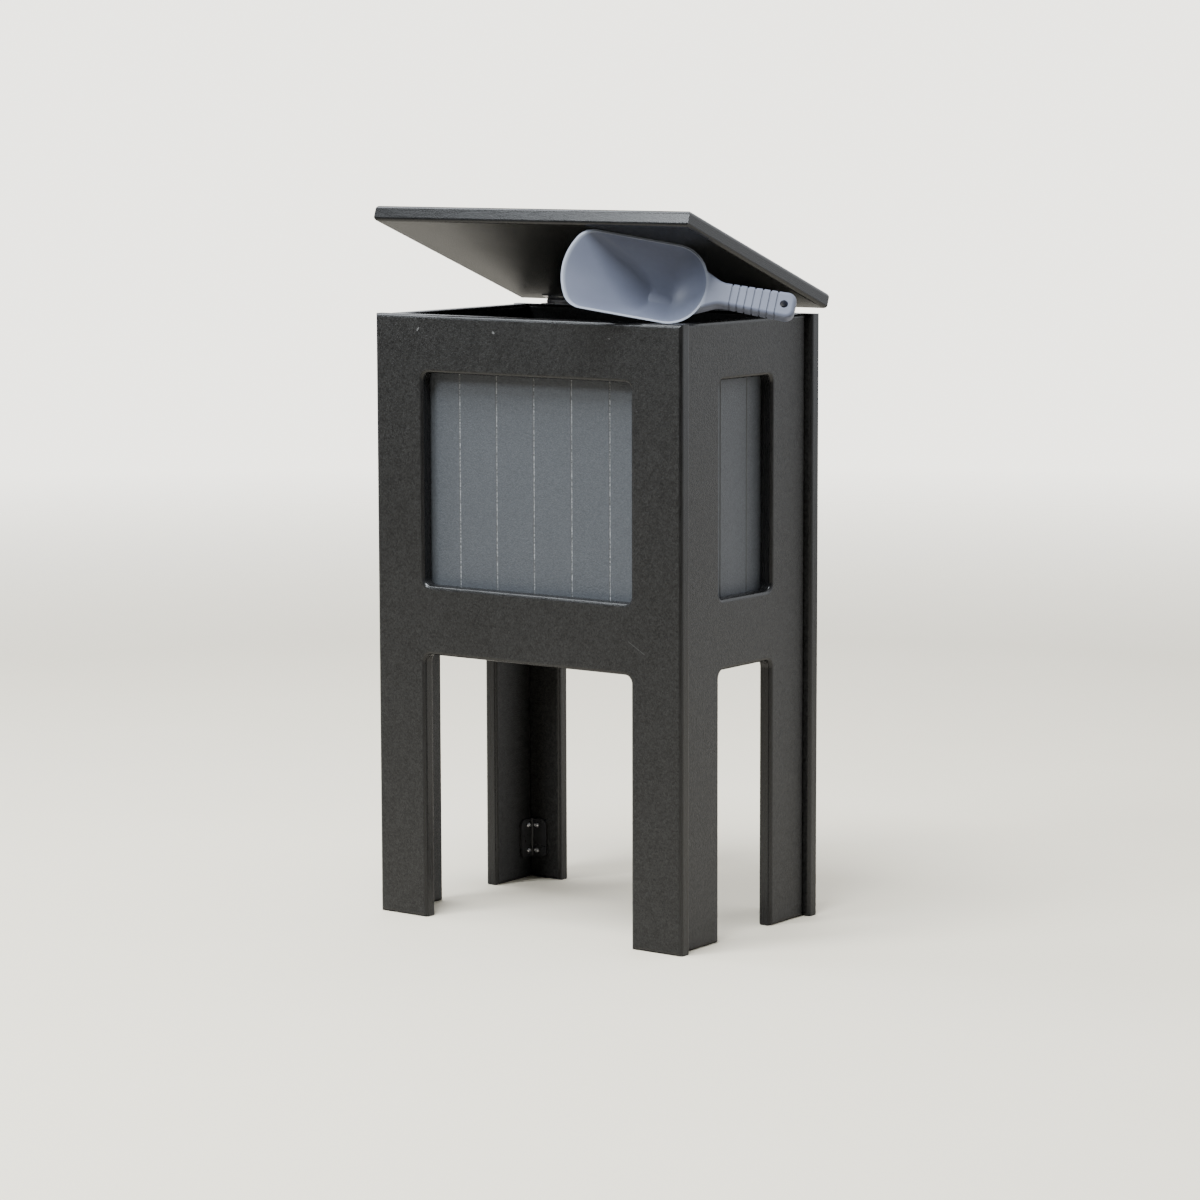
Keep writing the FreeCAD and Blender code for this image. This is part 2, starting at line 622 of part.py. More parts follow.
def make_scoop():
    handle = handle_form("handle_skin", 0)
    core = handle_form("handle_core", num("grip_groove_depth"))
    rings = new_body("grip_rings")
    last = dim("scoop_length") - dim("grip_end_gap")
    first = last - dim("grip_pitch") * (dim("grip_grooves") - 1)
    half, groove = dim("handle_end"), dim("grip_groove_width") / 2
    slot = new_sketch(rings, "XY_Plane", "grip_slot")
    rectangle(slot, (first - groove, -half), (first + groove, half))
    slab = pad(rings, slot, dim("handle_thick") * 3, "grip_slab")
    repeat(rings, [slab], "X_Axis", dim("grip_grooves"), last - first, "grip_slabs")
    grooves = doc.addObject("Part::Cut", "grip_grooves")
    grooves.Base, grooves.Tool = rings, core
    grip = doc.addObject("Part::Cut", "grip")
    grip.Base, grip.Tool = handle, grooves

    hole = doc.addObject("Part::Cylinder", "hang_hole")
    bind(hole, "Radius", dim("hang_hole") / 2)
    bind(hole, "Height", dim("handle_thick") * 3)
    bind(hole, "Placement.Base.x", dim("scoop_length") - dim("hang_hole_in"))
    bind(hole, "Placement.Base.z", dim("handle_thick") * -2)
    holed = doc.addObject("Part::Cut", "holed_grip")
    holed.Base, holed.Tool = grip, hole

    bowl = bowl_form("bowl_skin", 0, 0)
    hollow = bowl_form("bowl_hollow", num("bowl_wall"), num("bowl_wall"))
    blank = doc.addObject("Part::Fuse", "scoop_blank")
    blank.Base, blank.Tool = bowl, holed
    scoop = doc.addObject("Part::Cut", "scoop")
    scoop.Base, scoop.Tool = blank, hollow
    return scoop


def scoop_axes():
    """Directions of the scoop's axis, of its rim's upper side and of its open side."""
    yaw, dip, lean = (math.radians(num(name)) for name in ("scoop_yaw", "scoop_dip", "scoop_lean"))
    axis = Vec(math.cos(yaw) * math.cos(dip), math.sin(yaw) * math.cos(dip), -math.sin(dip))
    level = Vec(-math.sin(yaw), math.cos(yaw), 0)
    upright = axis.cross(level)
    rim = upright * math.cos(lean) + level * math.sin(lean)
    return axis, rim, axis.cross(rim)


def rim_clearance(distance):
    """Lowest level over a board's rounded rim, at a distance from the middle of its thickness, or None beside it."""
    rounding = num("edge_round")
    past_flat = abs(distance) - (num("panel_thick") / 2 - rounding)
    grown = rounding + num("rest_gap")
    if past_flat >= grown:
        return None
    return num("box_height") - rounding + math.sqrt(grown ** 2 - max(past_flat, 0) ** 2)


def rest_scoop(scoop):
    """Lays the scoop, at its own angles, on the rims of the front and right boards."""
    axis, rim, face = scoop_axes()
    turn = FreeCAD.Rotation(axis, rim, face, "XYZ")
    end = Vec(SIDE_INNER.value + num("scoop_end_out"), num("scoop_end_in") - FRONT_FACE.value, 0)
    lip = end - axis * num("bowl_length")
    lip.z = 0
    scoop.Placement = FreeCAD.Placement(lip, turn)
    doc.recompute()
    front_middle = (THICK / 2 - FRONT_FACE).value
    right_middle = (SIDE_FACE - THICK / 2).value
    for point in scoop.Shape.tessellate(0.1)[0]:
        for distance in (point.y - front_middle, point.x - right_middle):
            level = rim_clearance(distance)
            if level is not None:
                lip.z = max(lip.z, level - point.z)
    scoop.Placement = FreeCAD.Placement(lip, turn)


def lid_opening(scoop):
    """Degrees at which the lid's underside comes down on the scoop."""
    offset = LEAF_FACE.value - num("rest_gap")
    steepest = 0
    for point in scoop.Shape.tessellate(0.1)[0]:
        ahead, above = FRONT_FACE.value - point.y, point.z - PIN_LEVEL.value
        reach = math.hypot(ahead, above)
        steepest = max(steepest, math.atan2(above, ahead) - math.asin(offset / reach))
    return math.degrees(steepest)


# Screws: each group is one node of separate solids
def screw_shape(grip):
    """Dome-headed screw on the Z axis, head up, with its head seated at zero and its shank below."""
    shank, head, tall = num("screw_shank") / 2, num("screw_head") / 2, num("screw_head_tall")
    reach, tip = grip + num("screw_bite"), num("screw_tip")
    cap = Part.makeCone(head, head * 0.55, tall)
    body = Part.makeCylinder(shank, reach - tip, Vec(), Vec(0, 0, -1))
    point = Part.makeCone(shank, shank * 0.15, tip, Vec(0, 0, tip - reach), Vec(0, 0, -1))
    return cap.fuse([body, point]).removeSplitter()


def hinge_screw_shape():
    """Countersunk screw on the Z axis with its flat head level with zero."""
    shank, head, leaf = num("hinge_screw_shank") / 2, num("hinge_screw_head") / 2, num("hinge_leaf_thick")
    reach, tip = leaf + num("hinge_screw_bite"), num("screw_tip")
    cap = Part.makeCone(head, shank, leaf, Vec(), Vec(0, 0, -1))
    body = Part.makeCylinder(shank, reach - tip, Vec(), Vec(0, 0, -1))
    point = Part.makeCone(shank, shank * 0.15, tip, Vec(0, 0, tip - reach), Vec(0, 0, -1))
    return cap.fuse([body, point]).removeSplitter()


def screw_group(label, shape, seats):
    """One node of copies of a screw, each seated at a point with its head facing a direction."""
    copies = []
    for point, facing in seats:
        copy = shape.copy()
        copy.Placement = FreeCAD.Placement(point, FreeCAD.Rotation(Vec(0, 0, 1), facing))
        copies.append(copy)
    group = doc.addObject("Part::Feature", label)
    group.Shape = Part.makeCompound(copies)
    return group


def wall_seat(wall, across, inward, level):
    """A point and the inward direction in a wall's own frame."""
    turn, width, face, grooves = WALLS[wall]
    spin = FreeCAD.Rotation(Vec(0, 0, 1), turn)
    return spin.multVec(Vec(across, inward - face.value, level)), spin.multVec(Vec(0, 1, 0))


def insert_screw_seats():
    inward = num("panel_thick") + num("insert_thick")
    return [wall_seat(wall, across.value, inward, level.value)
            for wall, (turn, width, face, grooves) in WALLS.items()
            for across, level in insert_screw_spots(width)]


def cleat_screw_seats():
    inward = num("panel_thick") + num("cleat_size")
    level = CLEAT_LEVEL.value + num("cleat_size") / 2
    return [wall_seat(wall, spot.value, inward, level) for wall in WALLS for spot in cleat_screw_spots(wall)]


def floor_screw_seats():
    level = FLOOR_LEVEL.value + num("floor_thick")
    return [(Vec(across.value, along.value, level), Vec(0, 0, 1)) for across, along in floor_screw_spots()]


def bracket_screw_seats(level):
    seats = []
    inset, wall, gap = num("bracket_screw_in"), num("bracket_thick"), num("bracket_screw_gap")
    for corner, turn in CORNERS.items():
        spin = FreeCAD.Rotation(Vec(0, 0, 1), turn)
        side = SIDE_INNER.value if corner.endswith("right") else -SIDE_INNER.value
        depth = FRONT_INNER.value if corner.startswith("back") else -FRONT_INNER.value
        home = Vec(side, depth, level)
        for share in (-0.5, 0.5):
            for seat, facing in ((Vec(inset, wall, gap * share), Vec(0, 1, 0)),
                                 (Vec(wall, inset, gap * share), Vec(1, 0, 0))):
                seats.append((home + spin.multVec(seat), spin.multVec(facing)))
    return seats


def hinge_screw_seats(upper, opening):
    """Screw seats in one leaf; the upper ones turn with the lid."""
    count = round(num("hinge_screws"))
    run, start = hinge_screw_run().value, hinge_screw_run().value / -2
    along = -(num("hinge_leaf_width") + BARREL_RADIUS.value + num("hinge_knuckle_gap")) / 2
    face = LEAF_FACE.value - num("hinge_leaf_thick")
    level, facing = (face, Vec(0, 0, -1)) if upper else (-face, Vec(0, 0, 1))
    place = FreeCAD.Placement(Vec(0, FRONT_FACE.value, PIN_LEVEL.value),
                              FreeCAD.Rotation(Vec(-1, 0, 0), opening if upper else 0))
    return [(place.multVec(Vec(start + run * index / (count - 1), along, level)), place.Rotation.multVec(facing))
            for index in range(count)]


# Assembly
nodes = [make_panel(wall) for wall in WALLS]
nodes += [make_insert(wall) for wall in WALLS]
nodes += [make_cleat(wall) for wall in WALLS]
nodes.append(make_floor())
LEG_LEVEL = dim("leg_bracket_level")
RIM_LEVEL = HEIGHT - dim("rim_bracket_drop")
nodes += [make_bracket("leg", corner, LEG_LEVEL) for corner in CORNERS]
nodes += [make_bracket("rim", corner, RIM_LEVEL) for corner in CORNERS]

scoop = make_scoop()
rest_scoop(scoop)
doc.recompute()
opening = lid_opening(scoop)
print(f"lid opening {opening:.3f} degrees")

lower_leaf = make_leaf("hinge_lower_leaf", upper=False)
upper_leaf = make_leaf("hinge_upper_leaf", upper=True)
lid = make_lid()
at_pin(lower_leaf)
at_pin(upper_leaf, opening)
at_pin(lid, opening)
nodes += [lower_leaf, upper_leaf, make_pin(), lid, scoop]

nodes += [
    screw_group("insert_screws", screw_shape(num("insert_thick")), insert_screw_seats()),
    screw_group("cleat_screws", screw_shape(num("cleat_size")), cleat_screw_seats()),
    screw_group("floor_screws", screw_shape(num("floor_thick")), floor_screw_seats()),
    screw_group("leg_bracket_screws", screw_shape(num("bracket_thick")), bracket_screw_seats(LEG_LEVEL.value)),
    screw_group("rim_bracket_screws", screw_shape(num("bracket_thick")), bracket_screw_seats(RIM_LEVEL.value)),
    screw_group("hinge_lower_screws", hinge_screw_shape(), hinge_screw_seats(False, 0)),
    screw_group("hinge_upper_screws", hinge_screw_shape(), hinge_screw_seats(True, opening)),
]
doc.recompute()

# Every object has to be sound before anything is written
for item in doc.Objects:
    if {"Invalid", "Error"} & set(item.State):
        raise RuntimeError(f"{item.Label} failed: {item.State}")
for node in nodes:
    if node.Shape.isNull() or not node.Shape.isValid():
        raise RuntimeError(f"{node.Label} has no sound shape")

os.makedirs("parts", exist_ok=True)
for node in nodes:
    node.Shape.exportStep(f"parts/{node.Label}.step")
    print(f"{node.Label}: {len(node.Shape.Solids)} solids, {node.Shape.Volume / 1000:.1f} cm3")
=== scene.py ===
import math

import bmesh
import bpy
import numpy as np
from mathutils import Matrix, Vector


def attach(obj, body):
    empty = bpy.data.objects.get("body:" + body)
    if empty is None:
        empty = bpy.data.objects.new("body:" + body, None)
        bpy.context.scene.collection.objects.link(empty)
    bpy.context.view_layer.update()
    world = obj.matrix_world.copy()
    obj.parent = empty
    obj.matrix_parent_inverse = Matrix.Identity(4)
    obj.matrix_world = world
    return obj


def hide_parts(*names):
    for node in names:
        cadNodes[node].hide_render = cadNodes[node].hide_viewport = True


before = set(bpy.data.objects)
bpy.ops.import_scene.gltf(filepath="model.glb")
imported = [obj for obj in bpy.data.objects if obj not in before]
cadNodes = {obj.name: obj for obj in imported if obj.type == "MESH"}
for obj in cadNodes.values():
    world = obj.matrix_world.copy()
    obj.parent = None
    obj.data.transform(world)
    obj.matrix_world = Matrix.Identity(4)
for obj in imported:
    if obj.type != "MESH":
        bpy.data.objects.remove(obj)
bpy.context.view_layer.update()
print("frame:", len(cadNodes), "CAD nodes")

# Camera at the photograph's place, in metres and degrees
cameraStand = {
    "place": (2.8048, -3.8411, 1.0220),
    "yaw": 36.10,
    "pitch": 7.44,
    "roll": -0.14,
    "lens": 114.20,  # millimetres, as the sensor
    "sensor": 36,
    "farClip": 200,
}


def standCamera(stand):
    yaw, pitch, roll = (math.radians(stand[key]) for key in ("yaw", "pitch", "roll"))
    ahead = Vector((
        -math.sin(yaw) * math.cos(pitch),
        math.cos(yaw) * math.cos(pitch),
        -math.sin(pitch),
    ))
    right = Vector((math.cos(yaw), math.sin(yaw), 0))
    up = right.cross(ahead)
    across = right * math.cos(roll) + up * math.sin(roll)
    upright = up * math.cos(roll) - right * math.sin(roll)
    turn = Matrix((across, upright, -ahead)).transposed()
    lens = bpy.data.cameras.new("photoCamera")
    lens.lens = stand["lens"]
    lens.sensor_width = stand["sensor"]
    lens.clip_end = stand["farClip"]
    camera = bpy.data.objects.new("photoCamera", lens)
    camera.matrix_world = Matrix.Translation(stand["place"]) @ turn.to_4x4()
    bpy.context.scene.collection.objects.link(camera)
    bpy.context.scene.camera = camera


standCamera(cameraStand)
print("camera set")

# Small helpers for material nodes; a noise is given as scale per metre, detail and roughness
middleBand = (0.3, 0.7)  # where most of a noise lies


def newFinish(name):
    finish = bpy.data.materials.new(name)
    finish.use_nodes = True
    return finish, finish.node_tree, finish.node_tree.nodes["Principled BSDF"]


def feed(tree, node, feeds):
    for socket, value in feeds.items():
        if isinstance(value, bpy.types.NodeSocket):
            tree.links.new(value, node.inputs[socket])
        else:
            node.inputs[socket].default_value = value


def addNode(tree, kind, feeds, output=0, **settings):
    node = tree.nodes.new(kind)
    for key, value in settings.items():
        setattr(node, key, value)
    feed(tree, node, feeds)
    return node.outputs[output]


def placeOf(tree, output="Object"):
    return addNode(tree, "ShaderNodeTexCoord", {}, output)


def noise(tree, at, scale, detail, roughness):
    return addNode(tree, "ShaderNodeTexNoise",
                   {"Vector": at, "Scale": scale, "Detail": detail, "Roughness": roughness})


def spread(tree, value, band, result=(0.0, 1.0)):
    return addNode(tree, "ShaderNodeMapRange", {
        "Value": value,
        "From Min": band[0],
        "From Max": band[1],
        "To Min": result[0],
        "To Max": result[1],
    })


def number(tree, operation, *values):
    return addNode(tree, "ShaderNodeMath", dict(enumerate(values)), operation=operation)


def vector(tree, operation, *values):
    return addNode(tree, "ShaderNodeVectorMath", dict(enumerate(values)), operation=operation)


def vectorNumber(tree, operation, first, second):
    return addNode(tree, "ShaderNodeVectorMath", {0: first, 1: second}, "Value", operation=operation)


def scaled(tree, first, by):
    return addNode(tree, "ShaderNodeVectorMath", {0: first, "Scale": by}, operation="SCALE")


def mixNumber(tree, share, first, second):
    return addNode(tree, "ShaderNodeMix", {0: share, 2: first, 3: second})


def mixColour(tree, share, first, second):
    return addNode(tree, "ShaderNodeMixRGB", {"Fac": share, "Color1": first, "Color2": second})


def bumped(tree, height, look):
    return addNode(tree, "ShaderNodeBump",
                   {"Strength": look["bump"], "Distance": look["lift"], "Height": height})


def dress(finish, *names):
    for name in names:
        item = cadNodes[name]
        item.data.materials.clear()
        item.data.materials.append(finish)


# Boards: pebbled moulded faces, smoother routed edges with cutter marks along them
boardTexture = {
    "pebble": 560.0,  # per metre
    "pebbleSoftness": 0.6,
    "pebbleShare": -0.8,
    "fine": (1100.0, 3.0, 0.6),
    "speckle": 420.0,  # per metre
    "speckleShare": 0.8,
    "clouds": (9.0, 4.0, 0.6),
    "cloudShare": 0.12,
    "toneBand": (0.16, 1.36),
    "edgeLean": (0.996, 0.91),  # cosine to the face, from the face to the routed edge
    "tornBand": (0.38, 0.66),
    "tornDepth": (0.0004, 0.0009),  # metres below a grooved face
    "scuffBlur": 0.2,  # share of a scuff's width
    "cutHeight": (0.02, 0.2),  # share of the streaks, and level of the grain
}
blackBoard = dict(
    boardTexture,
    face=(0.0012, 0.0012, 0.0012, 1),
    faceTop=(0.036, 0.036, 0.035, 1),
    cut=(0.007, 0.007, 0.0072, 1),  # routed edges
    cutTop=(0.013, 0.013, 0.0135, 1),
    scuff=(0.25, 0.25, 0.25, 1),
    faceRough=(0.34, 0.38),
    cutRough=(0.23, 0.31),
    streaks=(900.0, 2.0, 0.55),
    along=0.05,  # squeeze along the edge, for long marks
    bump=1.0,
    lift=0.00035,
)
greyBoard = dict(
    boardTexture,
    face=(0.071, 0.078, 0.087, 1),
    faceTop=(0.106, 0.115, 0.127, 1),
    cut=(0.12, 0.125, 0.13, 1),
    cutTop=(0.55, 0.57, 0.59, 1),  # torn edges of the grooves
    faceRough=(0.48, 0.52),
    cutRough=(0.51, 0.59),
    streaks=(500.0, 2.0, 0.55),
    along=1.0,
    bump=0.8,
    lift=0.0004,
)
sideLitGrey = dict(  # a little paler as painted light from the bright side, with cleaner grooves
    greyBoard,
    face=(0.079, 0.086, 0.097, 1),
    faceTop=(0.117, 0.126, 0.140, 1),
    cutTop=(0.12, 0.125, 0.13, 1),
)
frontScuffs = [  # start and end across and up, width, strength
    ((-0.1665, 0.7425), (-0.1640, 0.7455), 0.0018, 0.6),
    ((-0.0475, 0.7436), (-0.0465, 0.7430), 0.0026, 0.6),
    ((0.1275, 0.7420), (0.1290, 0.7420), 0.0018, 0.35),
    ((0.1560, 0.3780), (0.1800, 0.3640), 0.0010, 0.18),
]


def faceTone(tree, at, grain, clouds, look):
    speckle = addNode(tree, "ShaderNodeTexVoronoi", {"Vector": at, "Scale": look["speckle"]}, "Color")
    dotted = number(tree, "MULTIPLY_ADD", speckle, look["speckleShare"], grain)
    toned = number(tree, "MULTIPLY_ADD", clouds, look["cloudShare"], dotted)
    return mixColour(tree, spread(tree, toned, look["toneBand"]), look["face"], look["faceTop"])


def edgeStreaks(tree, at, thickness, depth, look):
    inward = scaled(tree, thickness, depth)
    along = scaled(tree, at, look["along"])
    drawn = vector(tree, "MULTIPLY_ADD", inward, (1.0 - look["along"],) * 3, along)
    return noise(tree, drawn, *look["streaks"])


def edgeTone(tree, depth, streaks, outer, look):
    torn = spread(tree, streaks, look["tornBand"])
    if outer:
        shallow, deep = look["tornDepth"]
        inGroove = spread(tree, number(tree, "ABSOLUTE", depth), (outer - shallow, outer - deep))
        torn = number(tree, "MULTIPLY", torn, inGroove)
    return mixColour(tree, torn, look["cut"], look["cutTop"])


# A scuff is the strip round a short line on the front face, frayed by the fine grain
def addScuff(tree, at, fine, colour, scuff, look):
    start, end, width, share = scuff
    start, end = (Vector((across, frontFace, up)) for across, up in (start, end))
    run = end - start
    fromStart = vector(tree, "SUBTRACT", at, tuple(start))
    part = spread(tree, vectorNumber(tree, "DOT_PRODUCT", fromStart, tuple(run)), (0.0, run.length_squared))
    distance = vectorNumber(tree, "DISTANCE", fromStart, scaled(tree, tuple(run), part))
    away = number(tree, "MULTIPLY_ADD", fine, -width, distance)
    blur = width * look["scuffBlur"]
    return mixColour(tree, spread(tree, away, (blur, -blur), (0.0, share)), colour, look["scuff"])


def boardFinish(name, look, thickness, scuffs=(), outer=None):
    finish, tree, shader = newFinish(name)
    at = placeOf(tree)
    pebbles = addNode(
        tree, "ShaderNodeTexVoronoi",
        {"Vector": at, "Scale": look["pebble"], "Smoothness": look["pebbleSoftness"]},
        feature="SMOOTH_F1",
    )
    fine = noise(tree, at, *look["fine"])
    grain = number(tree, "MULTIPLY_ADD", pebbles, look["pebbleShare"], fine)
    clouds = noise(tree, at, *look["clouds"])

    lean = vectorNumber(tree, "DOT_PRODUCT", placeOf(tree, "Normal"), thickness)
    routed = spread(tree, number(tree, "ABSOLUTE", lean), look["edgeLean"])
    depth = vectorNumber(tree, "DOT_PRODUCT", at, thickness)
    streaks = edgeStreaks(tree, at, thickness, depth, look)

    colour = mixColour(tree, routed, faceTone(tree, at, grain, clouds, look),
                       edgeTone(tree, depth, streaks, outer, look))
    for scuff in scuffs:
        colour = addScuff(tree, at, fine, colour, scuff, look)
    faceRough = spread(tree, clouds, middleBand, look["faceRough"])
    cutRough = spread(tree, streaks, middleBand, look["cutRough"])
    cutHeight = number(tree, "MULTIPLY_ADD", streaks, *look["cutHeight"])
    feed(tree, shader, {
        "Base Color": colour,
        "Roughness": mixNumber(tree, routed, faceRough, cutRough),
        "Normal": bumped(tree, mixNumber(tree, routed, grain, cutHeight), look),
    })
    return finish


sideways, depthwise, upward = (1, 0, 0), (0, 1, 0), (0, 0, 1)
lidUp = tuple(max(cadNodes["lid"].data.polygons, key=lambda face: face.area).normal)
frontFace = min(vert.co.y for vert in cadNodes["front_panel"].data.vertices)
groovedFace = max(abs(vert.co.y) for vert in cadNodes["front_insert"].data.vertices)

dress(boardFinish("frontBoard", blackBoard, depthwise, frontScuffs), "front_panel")
for finishName, thickness, nodes in (
    ("backBoard", depthwise, ["back_panel"]),
    ("sideBoard", sideways, ["left_panel", "right_panel"]),
    ("lidBoard", lidUp, ["lid"]),
    ("floorBoard", upward, ["floor_panel"]),
    ("longCleat", sideways, ["front_cleat", "back_cleat"]),
    ("shortCleat", depthwise, ["left_cleat", "right_cleat"]),
):
    dress(boardFinish(finishName, blackBoard, thickness), *nodes)
dress(boardFinish("frontInsert", greyBoard, depthwise, outer=groovedFace), "front_insert", "back_insert")
# the side inserts' paler tone is painted light, not a different board
dress(boardFinish("sideInsert", sideLitGrey, sideways), "left_insert", "right_insert")
print("boards dressed")

# Scoop: smooth moulded plastic with faint flow clouds and a painted highlight along the bowl's rim
scoopLook = {
    "low": (0.134, 0.148, 0.201, 1),
    "high": (0.162, 0.178, 0.235, 1),
    "flow": (14.0, 4.0, 0.55),
    "flowBand": (0.25, 0.75),
    "satin": (2200.0, 2.0, 0.5),
    # painted highlight colour for the bowl's rim band, and how much of it is laid on
    "rim": (0.34, 0.37, 0.44, 1),
    "rimShare": 0.8,
    "rimBand": (0.0016, 0.0004),  # metres below the rim's plane
    "rimFacing": (0.4991, -0.7110, 0.4954),
    "axis": (0.8588, 0.4819, -0.1736),  # from the lip to the handle
    "bowlReach": 0.172,
    "bowlFade": 0.006,
    "rough": (0.46, 0.55),
    "bump": 0.5,
    "lift": 0.00008,
}


# Painted highlight: the flat rim round the bowl is made lighter in colour to stand in for light catching it
def paintedRimHighlight(tree, at, look):
    points = np.array([vert.co for vert in cadNodes["scoop"].data.vertices])
    rimLevel, lip = (points @ look["rimFacing"]).max(), (points @ look["axis"]).min()
    level = vectorNumber(tree, "DOT_PRODUCT", at, look["rimFacing"])
    onRim = spread(tree, level, [rimLevel - drop for drop in look["rimBand"]], (0.0, look["rimShare"]))
    along = vectorNumber(tree, "DOT_PRODUCT", at, look["axis"])
    bowlEnd = lip + look["bowlReach"]
    onBowl = spread(tree, along, (bowlEnd + look["bowlFade"], bowlEnd))
    return number(tree, "MULTIPLY", onRim, onBowl)


def scoopFinish(look):
    finish, tree, shader = newFinish("scoopPlastic")
    at = placeOf(tree)
    flow = noise(tree, at, *look["flow"])
    satin = noise(tree, at, *look["satin"])
    skin = mixColour(tree, spread(tree, flow, look["flowBand"]), look["low"], look["high"])
    feed(tree, shader, {
        "Base Color": mixColour(tree, paintedRimHighlight(tree, at, look), skin, look["rim"]),
        "Roughness": spread(tree, flow, middleBand, look["rough"]),
        "Normal": bumped(tree, satin, look),
    })
    return finish


dress(scoopFinish(scoopLook), "scoop")

# Corner brackets of black plastic, and the steel of the hinge and the screws
bracketLook = {
    "low": (0.018, 0.018, 0.0185, 1),
    "high": (0.040, 0.040, 0.042, 1),
    "patches": (60.0, 3.0, 0.6),
    "stretch": (1200.0, 1200.0, 1200.0),  # fine grain, per metre
    "rough": (0.25, 0.38),
    "metal": 0.0,
    "bump": 0.5,
    "lift": 0.0001,
}
hingeSteel = {
    "low": (0.42, 0.42, 0.43, 1),
    "high": (0.62, 0.62, 0.63, 1),
    "patches": (120.0, 4.0, 0.6),
    "stretch": (40.0, 900.0, 900.0),  # drawn along the hinge
    "rough": (0.24, 0.40),
    "metal": 1.0,
    "bump": 0.3,
    "lift": 0.00006,
}
screwSteel = dict(
    hingeSteel,
    low=(0.52, 0.52, 0.53, 1),
    high=(0.70, 0.70, 0.71, 1),
    stretch=(700.0, 700.0, 700.0),
    rough=(0.18, 0.34),
)
fineGrain = (1.0, 3.0, 0.6)  # on stretched places


def patchedFinish(name, look):
    finish, tree, shader = newFinish(name)
    at = placeOf(tree)
    fine = noise(tree, vector(tree, "MULTIPLY", at, look["stretch"]), *fineGrain)
    patches = noise(tree, at, *look["patches"])
    feed(tree, shader, {
        "Base Color": mixColour(tree, patches, look["low"], look["high"]),
        "Roughness": spread(tree, patches, middleBand, look["rough"]),
        "Metallic": look["metal"],
        "Normal": bumped(tree, fine, look),
    })
    return finish


bracketNames = [name for name in cadNodes if "_bracket_" in name and not name.endswith("screws")]
dress(patchedFinish("bracketBlack", bracketLook), *bracketNames)
print("scoop and brackets dressed")
dress(patchedFinish("hingeSteel", hingeSteel), "hinge_lower_leaf", "hinge_upper_leaf", "hinge_pin")
screwFinish = patchedFinish("screwSteel", screwSteel)

# Screws, turned round each CAD screw's own axis with a cross recess in the head.
# Rings are radius and level over the seat, in millimetres
perMetre = 1000
screwShape = {
    "sides": 24,
    "arms": 4,  # of the recess
    "armReach": 0.28,
    "tip": 3.0,
    "tipRadius": 0.3,
    "threadRun": 10.0,
    "plainTurns": 1.5,  # pitches without a thread under the head
    "neck": 0.05,
}
domeScrew = dict(
    screwShape,
    head=[(3.2, -0.02), (4.0, 0.0), (4.0, 0.45), (3.75, 1.15), (3.2, 1.8), (2.55, 2.3)],
    recess=[(1.72, 2.55), (1.6, 2.45), (1.25, 1.2), (0.55, 0.8)],
    shank=2.0,
    root=1.55,
    pitch=2.0,
)
hingeScrew = dict(
    screwShape,
    head=[(1.75, -1.15), (2.95, -0.12), (3.0, 0.0), (2.5, 0.0)],
    recess=[(1.35, 0.0), (1.25, -0.1), (0.9, -0.8), (0.4, -1.0)],
    shank=1.7,
    root=1.3,
    pitch=1.8,
)
weldGap = 1e-6  # metres
widestShare = 0.98


def screwSeats(name):
    work = bmesh.new()
    work.from_mesh(cadNodes[name].data)
    bmesh.ops.remove_doubles(work, verts=work.verts, dist=weldGap)
    seats, seen = [], set()
    for start in work.verts:
        if start in seen:
            continue
        seen.add(start)
        queue, solid = [start], []
        while queue:
            vert = queue.pop()
            solid.append(vert.co[:])
            for edge in vert.link_edges:
                other = edge.other_vert(vert)
                if other not in seen:
                    seen.add(other)
                    queue.append(other)
        seats.append(seatOf(np.array(solid)))
    work.free()
    return seats


# The widest ring of a screw is its seat; the far end is its tip
def seatOf(points):
    middle = points.mean(0)
    axis = np.linalg.eigh(np.cov((points - middle).T))[1][:, -1]
    along = (points - middle) @ axis
    out = np.linalg.norm(points - middle - np.outer(along, axis), axis=1)
    seat = along[out > out.max() * widestShare].mean()
    tip = along.min() if seat > along.mean() else along.max()
    facing = axis * np.sign(seat - tip)
    return Vector(middle + axis * seat), Vector(facing), abs(seat - tip)


def screwRings(look, length):
    shankEnd = length * perMetre - look["tip"]
    rings = [(look["tipRadius"], -shankEnd - look["tip"])]
    level = -shankEnd
    threadTop = min(-look["pitch"] * look["plainTurns"], -shankEnd + look["threadRun"])
    while level < threadTop:
        rings += [(look["root"], level), (look["shank"], level + look["pitch"] * 0.5)]
        level += look["pitch"]
    rings += [(look["shank"], level), (look["shank"], look["head"][0][1] - look["neck"])]
    return rings + look["head"]


def turnRing(work, seat, turn, ring, look, armReach=0.0):
    radius, level = ring
    row = []
    for step in range(look["sides"]):
        angle = 2 * math.pi * step / look["sides"]
        reach = radius * (1 + armReach * math.cos(look["arms"] * angle))
        local = Vector((reach * math.cos(angle), reach * math.sin(angle), level)) / perMetre
        row.append(work.verts.new(seat + turn @ local))
    return row


def turnScrew(work, seat, facing, length, look):
    turn = facing.to_track_quat("Z", "Y").to_matrix()
    rows = [turnRing(work, seat, turn, ring, look) for ring in screwRings(look, length)]
    rows += [turnRing(work, seat, turn, ring, look, look["armReach"]) for ring in look["recess"]]
    for lower, upper in zip(rows, rows[1:]):
        for step in range(look["sides"]):
            after = (step + 1) % look["sides"]
            work.faces.new((lower[step], lower[after], upper[after], upper[step])).smooth = True
    for end in (rows[0][::-1], rows[-1]):
        work.faces.new(end)


def makeScrews(name, look):
    mesh = bpy.data.meshes.new(name + "Turned")
    work = bmesh.new()
    for seat, facing, length in screwSeats(name):
        turnScrew(work, seat, facing, length, look)
    work.to_mesh(mesh)
    work.free()
    mesh.materials.append(screwFinish)
    screws = bpy.data.objects.new(name + "Turned", mesh)
    bpy.context.scene.collection.objects.link(screws)
    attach(screws, "lid" if name == "hinge_upper_screws" else "box")
    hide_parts(name)


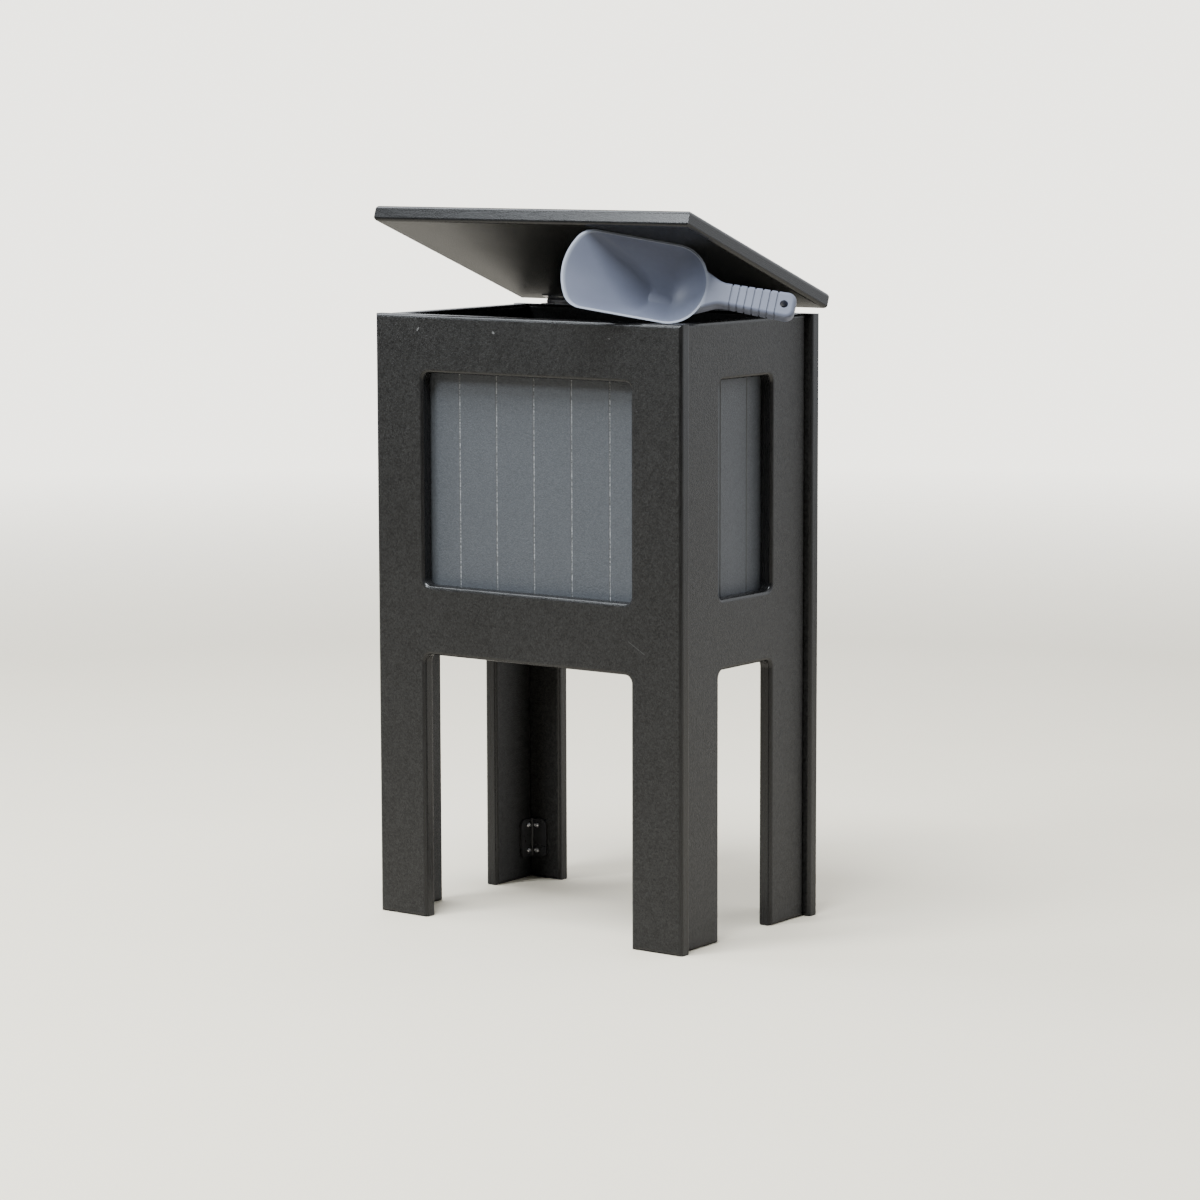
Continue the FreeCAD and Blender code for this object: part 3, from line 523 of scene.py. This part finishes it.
for name in ("insert_screws", "cleat_screws", "floor_screws", "leg_bracket_screws", "rim_bracket_screws"):
    makeScrews(name, domeScrew)
for name in ("hinge_lower_screws", "hinge_upper_screws"):
    makeScrews(name, hingeScrew)
print("hinge dressed, screws turned")

# Pale floor that fades into the backdrop; the object sees it darker than the camera does
floorLook = {
    "low": (0.94, 0.86, 0.69, 1),
    "high": (0.98, 0.90, 0.73, 1),
    "mottle": (3.0, 5.0, 0.6),
    "bounceBehind": (0.50, 0.455, 0.38, 1),
    "bounceAhead": (0.250, 0.222, 0.180, 1),
    "aheadBand": (0.2, 2.0),  # metres in front of the object
    "fade": (2.5, 6.0),  # metres from the object
    "rough": 0.7,
    "shine": 0.2,
}


def layFloor(look):
    mesh = bpy.data.meshes.new("floor")
    size = look["fade"][1]
    corners = [(-size, -size, 0), (size, -size, 0), (size, size, 0), (-size, size, 0)]
    mesh.from_pydata(corners, [], [range(len(corners))])
    floor = bpy.data.objects.new("floor", mesh)
    bpy.context.scene.collection.objects.link(floor)
    finish, tree, shader = newFinish("paleFloor")
    at = placeOf(tree)
    plain = mixColour(tree, noise(tree, at, *look["mottle"]), look["low"], look["high"])
    ahead = spread(tree, vectorNumber(tree, "DOT_PRODUCT", at, (0, -1, 0)), look["aheadBand"])
    bounce = mixColour(tree, ahead, look["bounceBehind"], look["bounceAhead"])
    seen = addNode(tree, "ShaderNodeLightPath", {}, "Is Camera Ray")
    feed(tree, shader, {
        "Base Color": mixColour(tree, seen, bounce, plain),
        "Roughness": look["rough"],
        "Specular IOR Level": look["shine"],
    })
    away = spread(tree, vectorNumber(tree, "DISTANCE", at, (0, 0, 0)), look["fade"])
    clear = addNode(tree, "ShaderNodeBsdfTransparent", {})
    faded = addNode(tree, "ShaderNodeMixShader", {0: away, 1: shader.outputs["BSDF"], 2: clear})
    feed(tree, tree.nodes["Material Output"], {"Surface": faded})
    mesh.materials.append(finish)


# Soft light: bright behind, dim towards the camera and below the horizon
roomLook = {
    "backdrop": (1.0, 0.975, 0.89, 1),
    "backdropStrength": 3.3,
    "sky": (0.93, 0.96, 1.0, 1),
    "wall": (-0.2, 0.98, 0.0),  # where the room is bright
    "wallBand": (-0.5, 0.4),
    "strength": (0.12, 1.65),  # away from the wall and towards it
    "horizonBand": (0.0, -0.12),
    "farFloor": 0.5,  # share of the light below the horizon
    "lampColour": (0.90, 0.95, 1.0),
    "lamps": [  # name, place, aim, width, watts
        ("frontKey", (0.2, -1.8, 4.6), (0, 0, 0.5), 2.0, 350),
        ("leftWindow", (-1.5, -3.05, 3.1), (0, 0, 0.8), 1.2, 115),
        ("overhead", (-2.1, -0.5, 3.6), (0, 0, 0.6), 1.6, 60),
    ],
}


def lightRoom(look):
    world = bpy.data.worlds.new("paleRoom")
    world.use_nodes = True
    tree = world.node_tree
    toward = placeOf(tree, "Generated")
    seen = addNode(tree, "ShaderNodeLightPath", {}, "Is Camera Ray")
    wallward = vectorNumber(tree, "DOT_PRODUCT", toward, look["wall"])
    height = vectorNumber(tree, "DOT_PRODUCT", toward, upward)
    room = number(
        tree, "MULTIPLY",
        spread(tree, wallward, look["wallBand"], look["strength"]),
        spread(tree, height, look["horizonBand"], (1.0, look["farFloor"])),
    )
    feed(tree, tree.nodes["Background"], {
        "Color": mixColour(tree, seen, look["sky"], look["backdrop"]),
        "Strength": mixNumber(tree, seen, room, look["backdropStrength"]),
    })
    bpy.context.scene.world = world


def hangLamps(look):
    for name, place, aim, width, watts in look["lamps"]:
        lamp = bpy.data.lights.new(name, "AREA")
        lamp.size, lamp.energy, lamp.color = width, watts, look["lampColour"]
        item = bpy.data.objects.new(name, lamp)
        item.location = place
        item.rotation_euler = (Vector(aim) - Vector(place)).to_track_quat("-Z", "Y").to_euler()
        bpy.context.scene.collection.objects.link(item)


layFloor(floorLook)
lightRoom(roomLook)
hangLamps(roomLook)
print("floor and light set")
